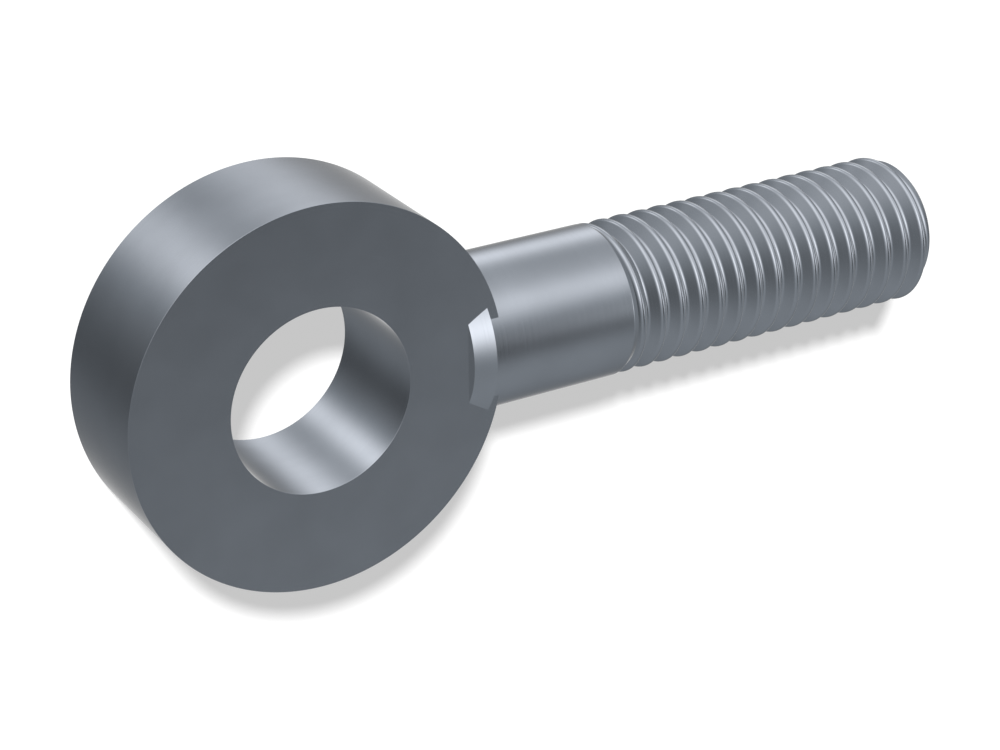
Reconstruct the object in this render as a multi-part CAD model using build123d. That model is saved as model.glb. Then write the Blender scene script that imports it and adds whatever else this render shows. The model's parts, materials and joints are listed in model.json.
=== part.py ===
from build123d import *
import math
import os

# Swing eye bolt, one solid steel piece, in millimetres.
# The origin is the centre of the eye's bore at mid-thickness. +X runs along the shank to
# the threaded end and +Z runs along the bore, so the bolt lies on its side.

# Eye: a flat round disc with a plain bore for the pivot pin
eye_diameter = 25.0
eye_thickness = 8.5
bore_diameter = 12.0

# Shank: a little thicker than the eye, so it stands proud of both side faces
shank_diameter = 10.0
reach = 46.1

# Collar: a short cone that swells from the shank's inner end towards the eye's rim, with
# its large end set in from the farthest point of the rim
collar_rise = 0.475
collar_length = 1.34
collar_inset = 1.1

# Thread: right-hand, coarse, 60 degrees. The allowance is how much smaller its outside
# diameter is than the shank's, so that a nut runs freely. The phase is where the ridge
# crosses the +Z side, in turns from a whole pitch.
pitch = 1.5
thread_length = 24.35
thread_angle = 60.0
thread_allowance = 0.032
thread_phase = 0.90
run_out_angle = 23.0
end_chamfer_angle = 45.0

# Basic thread form worked out from the pitch and the flank angle
flank_slope = math.tan(math.radians(thread_angle / 2))
thread_depth = pitch / 2 / flank_slope * 5 / 8
root_width = pitch / 4

# Places worked out from the sizes above
eye_radius = eye_diameter / 2
shank_radius = shank_diameter / 2
collar_radius = shank_radius + collar_rise
crest_radius = shank_radius - thread_allowance / 2
root_radius = shank_radius - thread_depth
collar_end = eye_radius - collar_inset
shank_start = collar_end - collar_length
thread_start = reach - thread_length

# How deep the ridge is rooted in the core, and how much longer than the bolt the bar is
# left until its end is cut
ridge_footing = 0.1
spare_length = 3 * pitch


def revolved(points):
    """Turn a closed outline of (x, radius) points about the shank's axis."""
    outline = Polyline(*[(x, radius) for x, radius in points], close=True)
    return revolve(make_face(outline), Axis.X)


def turned_bar():
    """The shank with its flat inner end, its collar, its run-out cone and the thread's core."""
    run_out_length = thread_depth / math.tan(math.radians(run_out_angle))
    bar_end = reach + spare_length
    return revolved([
        (shank_start, 0),
        (shank_start, shank_radius),
        (collar_end, collar_radius),
        (collar_end, shank_radius),
        (thread_start, shank_radius),
        (thread_start + run_out_length, root_radius),
        (bar_end, root_radius),
        (bar_end, 0),
    ])


def thread_ridge():
    """The thread's ridge, from inside the plain shank to past the end of the bolt."""
    first_turn = math.floor(thread_start / pitch) - 2
    start = (first_turn + thread_phase) * pitch
    turns = math.ceil((reach + spare_length / 2 - start) / pitch)
    turn = Helix(pitch, pitch, root_radius, center=(start, 0, 0), direction=(1, 0, 0))
    path = Wire([turn.translate((number * pitch, 0, 0)) for number in range(turns)])

    # The section lies in the plane that holds the axis and the helix's first point.
    outward = Vector(0, (path @ 0).Y, (path @ 0).Z).normalized()
    half_foot = (pitch - root_width) / 2
    half_crest = half_foot - (crest_radius - root_radius) * flank_slope
    half_base = half_foot + ridge_footing * flank_slope
    base_radius = root_radius - ridge_footing
    corners = [
        (-half_base, base_radius),
        (half_base, base_radius),
        (half_crest, crest_radius),
        (-half_crest, crest_radius),
    ]
    section = Polyline(*[Vector(start + x, 0, 0) + outward * r for x, r in corners], close=True)
    return sweep(make_face(section), path, is_frenet=True)


def beyond_the_end():
    """What is turned away past the bolt's end face and its chamfer."""
    slope = math.tan(math.radians(end_chamfer_angle))
    far = reach + 2 * spare_length
    outside = shank_radius + pitch
    chamfer_start = reach - (outside - root_radius) / slope
    return revolved([
        (reach, 0),
        (reach, root_radius),
        (chamfer_start, outside),
        (far, outside),
        (far, 0),
    ])


def threaded_shank():
    """The turned bar with its thread, faced and chamfered at the end."""
    return turned_bar() + thread_ridge() - beyond_the_end()


def swing_eye_bolt():
    """The whole bolt: eye and shank as one solid, drilled through the eye."""
    eye = Cylinder(eye_radius, eye_thickness)
    bore = Cylinder(bore_diameter / 2, eye_thickness + 2 * collar_radius)
    return eye + threaded_shank() - bore


bolt = swing_eye_bolt()
bolt.label = "swing_eye_bolt"
os.makedirs("parts", exist_ok=True)
export_step(bolt, "parts/swing_eye_bolt.step")
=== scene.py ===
import json
import math

import bpy
from mathutils import Matrix, Vector

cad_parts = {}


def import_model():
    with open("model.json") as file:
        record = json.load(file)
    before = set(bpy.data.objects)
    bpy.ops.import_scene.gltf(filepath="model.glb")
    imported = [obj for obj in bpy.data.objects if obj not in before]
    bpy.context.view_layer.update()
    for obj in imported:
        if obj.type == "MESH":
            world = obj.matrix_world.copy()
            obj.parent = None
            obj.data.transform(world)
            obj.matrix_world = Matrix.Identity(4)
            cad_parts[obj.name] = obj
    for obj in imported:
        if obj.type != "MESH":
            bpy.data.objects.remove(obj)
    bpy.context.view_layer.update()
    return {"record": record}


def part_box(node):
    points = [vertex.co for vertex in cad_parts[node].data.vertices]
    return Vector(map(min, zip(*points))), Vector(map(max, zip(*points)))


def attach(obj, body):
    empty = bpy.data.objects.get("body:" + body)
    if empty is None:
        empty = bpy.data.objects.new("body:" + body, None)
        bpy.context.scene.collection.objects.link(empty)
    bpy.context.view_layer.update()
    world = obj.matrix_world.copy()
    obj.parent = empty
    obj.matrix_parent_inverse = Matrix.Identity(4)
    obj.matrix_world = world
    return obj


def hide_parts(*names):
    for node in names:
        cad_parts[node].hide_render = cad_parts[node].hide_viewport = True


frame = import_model()

MM = 0.001
steel_node = "swing_eye_bolt"
mounts = {mount["name"]: mount for mount in frame["record"]["mounts"]}


def size_of(mount, key):
    """A size of one of the frame's mounts, in metres."""
    return mounts[mount]["dims"][key] * MM


# Sizes read from the frame
box_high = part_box(steel_node)[1]
eye_radius = box_high.y
eye_thickness = size_of("eye_bore", "length_mm")
bore_radius = size_of("eye_bore", "r_mm")
shank_radius = size_of("shank", "r_mm")
reach = mounts["thread"]["pos_m"][0]
thread_start = reach - size_of("thread", "length_mm")
collar_radius = box_high.z

# Collar, on the shank where it leaves the eye
collar_length = 1.34 * MM
collar_inset = 1.1 * MM
collar_end = eye_radius - collar_inset
shank_start = collar_end - collar_length

# Thread: right-hand, with the crests and roots a little rounded. Its depth is counted from
# the shank's wall, and the allowance is how far its crest lies inside that wall. The phase
# is where the ridge crosses the +Y side, in turns from a whole pitch.
pitch = 1.5 * MM
thread_depth = 0.83 * MM
thread_allowance = 0.016 * MM
thread_phase = 0.754
flank_angle = 30
crest_width = 0.30 * MM
crest_rounding = 0.25 * MM
root_rounding = 0.22 * MM
flank_slope = math.tan(math.radians(flank_angle))
root_radius = shank_radius - thread_depth
crest_radius = shank_radius - thread_allowance

# Run-out: the cone in which the plain shank ends, with its edge to the shank rounded
run_out_angle = 30
run_out_rounding = 0.2 * MM
run_out_slope = math.tan(math.radians(run_out_angle))

# Edge broken on the eye's rim and bore
edge_break = 0.012 * MM

# Steps round a turned form, round the thread, and in one rounded corner. The offset, in
# steps, turns the turned forms a little, so that none of their lines falls on the thread's.
lathe_steps = 288
lathe_offset = 0.37
thread_steps = 140
corner_steps = 5

# Faces that meet at more than this angle, in degrees, keep a sharp edge between them
sharp_angle = 22

# Camera, at the photograph's place
camera_place = Vector((-63.795, 69.201, 131.709)) * MM
camera_aim = Vector((14.823, -3.638, 0)) * MM
camera_up = Vector((0.22351, 0.90332, -0.36615))
camera_lens = 95.84
sensor_width = 36.0

# Steel, and the marks of its turning. The edge tint holds back how much the steel brightens
# where it is seen at a low angle. The noise range is the middle part of a noise's values,
# which is stretched over the whole change that it makes.
steel_colour = (0.168, 0.188, 0.214)
steel_roughness = 0.18
roughness_spread = 0.03
steel_edge_tint = (0.5, 0.5, 0.5, 1)
mark_spacing = 0.12 * MM
mark_depth = 0.0004 * MM
mark_detail = 3
mottle_size = 4.0 * MM
mottle_detail = 4
mottle_share = 0.05
noise_range = (0.3, 0.7)

# Floor, and the light on it: an even light from the room, and the key lamp, whose shadow
# falls on it. Angles are in degrees.
floor_width = 4.0
floor_colour = (0.95, 0.95, 0.95, 1)
room_light = 0.60
key_strength = 2.7
key_azimuth = 122
key_height = 45
key_spread = 6

# What the steel mirrors: a white room with soft boxes in it and darker patches, each named
# for what it lights on the bolt or for where it lies. Each has an azimuth, a height, a focus
# (the higher, the smaller) and a strength. The tint is how much of the light above white is
# added to red, green and blue.
white = (1, 1, 1, 1)
room_white = 1.0
soft_box_tint = (0.07, 0.0, -0.04)
soft_boxes = {
    "line_along_the_shank": (45, -45, 20, 2.8),
    "band_on_the_shank": (45, 30, 20, 1.7),
    "back_wall": (110, 10, 4, 2.5),
    "collar": (120, 65, 12, 3.5),
    "stripe_in_the_bore": (120, -50, 50, 2.5),
    "crest_lines": (0, 45, 40, 3.0),
    "dark_left": (-170, 0, 10, -0.75),
    "dark_below": (-170, -50, 10, -0.7),
    "dark_ceiling": (-5, 70, 12, -1.2),
}


def rounded(points, roundings):
    """An open outline whose inner corners are rounded, each by its own radius."""
    outline = [Vector(points[0])]
    for before, corner, after, rounding in zip(points, points[1:], points[2:], roundings):
        before, corner, after = Vector(before), Vector(corner), Vector(after)
        into, out = (corner - before).normalized(), (after - corner).normalized()
        turn = into.angle(out)
        setback = rounding * math.tan(turn / 2)
        middle = corner + (out - into).normalized() * rounding / math.cos(turn / 2)
        start = corner - into * setback - middle
        side = 1 if into.cross(out) > 0 else -1
        for step in range(corner_steps + 1):
            outline.append(middle + Matrix.Rotation(side * turn * step / corner_steps, 2) @ start)
    outline.append(Vector(points[-1]))
    return outline


def lengths_along(outline):
    """How far along an outline each of its points lies."""
    lengths = [0.0]
    for here, there in zip(outline, outline[1:]):
        lengths.append(lengths[-1] + math.dist(here, there))
    return lengths


def mesh_piece(name, points, faces, marks):
    """An object from points, faces and each face's corners in the map of turning marks."""
    mesh = bpy.data.meshes.new(name)
    mesh.from_pydata(points, [], faces)
    layer = mesh.uv_layers.new(name="turning")
    for polygon, corners in zip(mesh.polygons, marks):
        for loop, corner in zip(polygon.loop_indices, corners):
            layer.data[loop].uv = corner
    piece = bpy.data.objects.new(name, mesh)
    bpy.context.scene.collection.objects.link(piece)
    return piece


def round_axis(axis, along, radius, angle):
    """A point round the shank's axis (X) or the bore's axis (Z)."""
    across, up = radius * math.cos(angle), radius * math.sin(angle)
    return (along, across, up) if axis == "X" else (across, up, along)


def turned(name, axis, outline):
    """A solid turned about an axis from a closed outline of (along, radius) corners."""
    steps = lathe_steps
    lengths = lengths_along(outline + outline[:1])
    points, place = [], {}
    for row, (along, radius) in enumerate(outline):
        for step in range(steps if radius > 0 else 1):
            place[row, step] = len(points)
            points.append(round_axis(axis, along, radius, math.tau * (step + lathe_offset) / steps))
    faces, marks = [], []
    for row in range(len(outline)):
        after = (row + 1) % len(outline)
        radius, radius_after = outline[row][1], outline[after][1]
        if radius == 0 and radius_after == 0:
            continue
        for step in range(steps):
            corners = [(row, step), (after, step), (after, step + 1), (row, step + 1)]
            # A row on the axis is a single point, so its faces are triangles.
            if radius == 0:
                corners.pop(3)
            if radius_after == 0:
                corners.pop(2)
            face, mark = [], []
            for at, turn in corners:
                on_axis = outline[at][1] == 0
                face.append(place[at, 0 if on_axis else turn % steps])
                mark.append((turn / steps, lengths[row if at == row else row + 1] / MM))
            faces.append(face)
            marks.append(mark)
    return mesh_piece(name, points, faces, marks)


def thread_outline():
    """One pitch of the thread's side, from the middle of a root to the middle of the next."""
    half_crest = crest_width / 2
    half_foot = half_crest + (crest_radius - root_radius) * flank_slope
    corners = [
        (-pitch / 2, root_radius),
        (-half_foot, root_radius),
        (-half_crest, crest_radius),
        (half_crest, crest_radius),
        (half_foot, root_radius),
        (pitch / 2, root_radius),
    ]
    return rounded(corners, [root_rounding, crest_rounding, crest_rounding, root_rounding])


def thread_rows():
    """Where each helical line of the thread starts, and how many lines there are in a pitch."""
    outline = thread_outline()[:-1]
    first = math.floor(thread_start / pitch) - 1
    turns = math.ceil(reach / pitch) + 1 - first
    rows = [(pitch * (first + turn + thread_phase) + along, radius)
            for turn in range(turns) for along, radius in outline]
    return rows, len(outline)


def screw(name):
    """The thread as a closed helical body, from inside the plain shank to past the end."""
    rows, per_turn = thread_rows()
    lengths = lengths_along(rows)
    last = len(rows) - 1

    def vertex(row, step):
        """After a whole turn a line goes on as the one that starts a pitch further along."""
        return row * thread_steps + step if step < thread_steps else (row + per_turn) * thread_steps

    points = [
        round_axis("X", along + pitch * step / thread_steps, radius, math.tau * step / thread_steps)
        for along, radius in rows for step in range(thread_steps)
    ]
    faces, marks = [], []
    for step in range(thread_steps):
        for row in range(last if step < thread_steps - 1 else last - per_turn):
            corners = [(row, step), (row, step + 1), (row + 1, step + 1), (row + 1, step)]
            faces.append([vertex(*corner) for corner in corners])
            marks.append([(turn / thread_steps, lengths[at] / MM) for at, turn in corners])
    start_loop = [vertex(0, step) for step in range(thread_steps + 1)]
    start_loop += [vertex(row, 0) for row in range(per_turn - 1, -1, -1)]
    end_loop = [vertex(last, step) for step in range(thread_steps)]
    end_loop += [vertex(row, thread_steps - 1) for row in range(last - 1, last - per_turn - 1, -1)]
    end_loop.append(vertex(last, 0))
    ends = ((start_loop, rows[0][0], True), (end_loop, rows[-1][0], False))
    for loop, along, turned_over in ends:
        centre = len(points)
        points.append((along + pitch / 2, 0, 0))
        for here, there in zip(loop, loop[1:]):
            faces.append([centre, there, here] if turned_over else [centre, here, there])
            marks.append([(0, 0)] * 3)
    return mesh_piece(name, points, faces, marks)


def combined(base, operation, other):
    """Joins, cuts or intersects two closed pieces, leaving only the result."""
    step = base.modifiers.new(operation.lower(), "BOOLEAN")
    step.operation = operation
    step.solver = "EXACT"
    step.object = other
    depsgraph = bpy.context.evaluated_depsgraph_get()
    mesh = bpy.data.meshes.new_from_object(base.evaluated_get(depsgraph))
    base.modifiers.clear()
    base.data = mesh
    bpy.data.objects.remove(other)
    return base


def eye():
    """The flat round eye with its bore, its four edges just broken."""
    half, broken = eye_thickness / 2, edge_break
    return turned("eye", "Z", [
        (-half + broken, bore_radius),
        (half - broken, bore_radius),
        (half, bore_radius + broken),
        (half, eye_radius - broken),
        (half - broken, eye_radius),
        (-half + broken, eye_radius),
        (-half, eye_radius - broken),
        (-half, bore_radius + broken),
    ])


def bar():
    """The plain shank with its flat inner end, its collar and its run-out.

    The run-out's cone goes on to inside the thread's core, where the bar ends.
    """
    core_radius = root_radius - thread_depth / 2
    core_start = thread_start + (shank_radius - core_radius) / run_out_slope
    run_out = [(core_start, core_radius), (thread_start, shank_radius), (collar_end, shank_radius)]
    return turned("bar", "X", [
        (shank_start, 0),
        (core_start, 0),
        *[tuple(point) for point in rounded(run_out, [run_out_rounding])],
        (collar_end, collar_radius),
        (shank_start, shank_radius),
    ])


def thread_envelope():
    """The room that the thread is cut back to: a plain start, the end and its 45 degree chamfer."""
    start, outside = thread_start - pitch, shank_radius + pitch
    return turned("envelope", "X", [
        (start, 0),
        (reach, 0),
        (reach, root_radius),
        (reach - (outside - root_radius), outside),
        (start, outside),
    ])


def finished_bolt():
    """The whole bolt as one closed piece, smooth on its round faces and sharp at its edges."""
    thread = combined(screw("bolt_thread"), "INTERSECT", thread_envelope())
    shank = combined(bar(), "UNION", thread)
    bolt = combined(eye(), "UNION", shank)
    bolt.name = "bolt_finished"
    bolt.data.materials.clear()
    bolt.data.materials.append(steel())
    bolt.data.shade_smooth()
    bolt.data.set_sharp_from_angle(angle=math.radians(sharp_angle))
    weighted = bolt.modifiers.new("weighted_normals", "WEIGHTED_NORMAL")
    weighted.keep_sharp = True
    return bolt


class Nodes:
    """Short calls to add and link the nodes of one material or world."""

    def __init__(self, tree):
        self.tree = tree
        tree.nodes.clear()

    def add(self, kind, **settings):
        """A new node, with its properties set and its inputs fed by name."""
        node = self.tree.nodes.new(kind)
        for name, value in settings.items():
            if hasattr(node, name):
                setattr(node, name, value)
            else:
                self.feed(value, node.inputs[name.replace("_", " ")])
        return node

    def feed(self, value, socket):
        """Links a socket to another node's output, or sets it to a plain value."""
        if isinstance(value, bpy.types.NodeSocket):
            self.tree.links.new(value, socket)
        else:
            socket.default_value = value

    def maths(self, operation, *values):
        """The result of one sum."""
        node = self.tree.nodes.new("ShaderNodeMath")
        node.operation = operation
        for value, socket in zip(values, node.inputs):
            self.feed(value, socket)
        return node.outputs[0]

    def stretched(self, noise, low, high):
        """A noise's middle range of values, stretched over another range."""
        node = self.add("ShaderNodeMapRange", Value=noise, From_Min=noise_range[0],
                        From_Max=noise_range[1], To_Min=low, To_Max=high)
        return node.outputs[0]

    def background(self, colour, strength):
        """A light of the world."""
        return self.add("ShaderNodeBackground", Color=colour, Strength=strength).outputs[0]

    def mixed(self, share, first, second):
        """The first of two shaders where the share is 0, and the second where it is 1."""
        node = self.add("ShaderNodeMixShader")
        for value, socket in zip((share, first, second), node.inputs):
            self.feed(value, socket)
        return node.outputs[0]

    def show(self, kind, surface):
        """Ends the nodes in an output of its kind."""
        self.add(kind, Surface=surface)


def steel():
    """Fine-turned steel: faint marks run round each turned face, over a slight mottle."""
    material = bpy.data.materials.new("fine_turned_steel")
    material.use_nodes = True
    nodes = Nodes(material.node_tree)
    place = nodes.add("ShaderNodeTexCoord").outputs["Object"]
    turning = nodes.add("ShaderNodeUVMap", uv_map="turning").outputs["UV"]
    along = nodes.add("ShaderNodeSeparateXYZ", Vector=turning).outputs["Y"]
    marks = nodes.add("ShaderNodeTexNoise", noise_dimensions="1D", W=along,
                      Scale=MM / mark_spacing, Detail=mark_detail).outputs[0]
    mottle = nodes.add("ShaderNodeTexNoise", Vector=place, Scale=1 / mottle_size,
                       Detail=mottle_detail).outputs[0]
    tone = nodes.stretched(mottle, 1 - mottle_share, 1 + mottle_share)
    colour = nodes.add("ShaderNodeVectorMath", operation="SCALE", Vector=steel_colour, Scale=tone)
    rough = nodes.stretched(marks, steel_roughness - roughness_spread, steel_roughness + roughness_spread)
    bump = nodes.add("ShaderNodeBump", Height=marks, Distance=mark_depth).outputs[0]
    shader = nodes.add("ShaderNodeBsdfPrincipled", Base_Color=colour.outputs[0], Metallic=1.0,
                       Roughness=rough, Specular_Tint=steel_edge_tint, Normal=bump)
    nodes.show("ShaderNodeOutputMaterial", shader.outputs[0])
    return material


def floor():
    """The plain pale floor that the bolt lies on. It neither shows in the steel nor shades it."""
    half = floor_width / 2
    level = -collar_radius
    corners = [(-half, -half, level), (half, -half, level), (half, half, level), (-half, half, level)]
    mesh = bpy.data.meshes.new("floor")
    mesh.from_pydata(corners, [], [[0, 1, 2, 3]])
    piece = bpy.data.objects.new("floor", mesh)
    bpy.context.scene.collection.objects.link(piece)
    material = bpy.data.materials.new("pale_floor")
    material.use_nodes = True
    nodes = Nodes(material.node_tree)
    shader = nodes.add("ShaderNodeBsdfDiffuse", Color=floor_colour)
    nodes.show("ShaderNodeOutputMaterial", shader.outputs[0])
    mesh.materials.append(material)
    piece.visible_glossy = False
    piece.visible_shadow = False


def direction(azimuth, height):
    """A unit vector from an azimuth, counted from +X towards +Y, and a height, in degrees."""
    azimuth, height = math.radians(azimuth), math.radians(height)
    flat = math.cos(height)
    return Vector((flat * math.cos(azimuth), flat * math.sin(azimuth), math.sin(height)))


def mirrored_light(nodes):
    """The room's light from each direction: white, with the soft boxes and dark patches."""
    looking = nodes.add("ShaderNodeTexCoord").outputs["Generated"]
    seen = room_white
    for azimuth, height, focus, strength in soft_boxes.values():
        towards = nodes.add("ShaderNodeVectorMath", operation="DOT_PRODUCT")
        nodes.feed(looking, towards.inputs[0])
        nodes.feed(direction(azimuth, height), towards.inputs[1])
        near = nodes.maths("MULTIPLY_ADD", towards.outputs["Value"], focus, -focus)
        seen = nodes.maths("MULTIPLY_ADD", nodes.maths("EXPONENT", near), strength, seen)
    return seen


def tinted(nodes, seen):
    """The same light, with the tint added to what is above white."""
    excess = nodes.maths("MAXIMUM", nodes.maths("SUBTRACT", seen, room_white), 0.0)
    node = nodes.add("ShaderNodeVectorMath", operation="MULTIPLY_ADD")
    for value, socket in zip((excess, soft_box_tint, seen), node.inputs):
        nodes.feed(value, socket)
    return node.outputs[0]


def world():
    """White to the camera, an even light on the floor, and the room that the steel mirrors.

    The room is met by reflections alone, so it isn't sampled as a lamp.
    """
    room = bpy.data.worlds.new("studio")
    bpy.context.scene.world = room
    room.use_nodes = True
    room.cycles.sampling_method = "NONE"
    nodes = Nodes(room.node_tree)
    ray = nodes.add("ShaderNodeLightPath").outputs
    reflected = nodes.maths("MAXIMUM", ray["Is Glossy Ray"], ray["Is Transmission Ray"])
    room_seen = nodes.background(tinted(nodes, mirrored_light(nodes)), 1.0)
    unseen = nodes.mixed(reflected, nodes.background(white, room_light), room_seen)
    whole = nodes.mixed(ray["Is Camera Ray"], unseen, nodes.background(white, room_white))
    nodes.show("ShaderNodeOutputWorld", whole)


def key_lamp():
    """The lamp that casts the bolt's shadow. The steel mirrors the room's soft boxes instead."""
    lamp = bpy.data.lights.new("key", "SUN")
    lamp.energy = key_strength
    lamp.angle = math.radians(key_spread)
    piece = bpy.data.objects.new("key", lamp)
    bpy.context.scene.collection.objects.link(piece)
    piece.rotation_euler = direction(key_azimuth, key_height).to_track_quat("Z", "Y").to_euler()
    piece.visible_glossy = False


def camera():
    """The camera, placed, aimed and rolled as the photograph's."""
    data = bpy.data.cameras.new("camera")
    data.lens = camera_lens
    data.sensor_width = sensor_width
    data.sensor_fit = "HORIZONTAL"
    data.clip_start = MM
    piece = bpy.data.objects.new("camera", data)
    bpy.context.scene.collection.objects.link(piece)
    back = (camera_place - camera_aim).normalized()
    right = camera_up.cross(back).normalized()
    turn = Matrix((right, back.cross(right), back)).transposed()
    piece.matrix_world = Matrix.Translation(camera_place) @ turn.to_4x4()
    bpy.context.scene.camera = piece


bolt = finished_bolt()
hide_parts(steel_node)
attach(bolt, "root")
floor()
world()
key_lamp()
camera()

# As in the photograph, the steel doesn't mirror itself, and it throws no shade on the floor
# beside the key lamp's shadow.
bolt.visible_glossy = False
bolt.visible_diffuse = False
bpy.context.scene.view_settings.view_transform = "Standard"
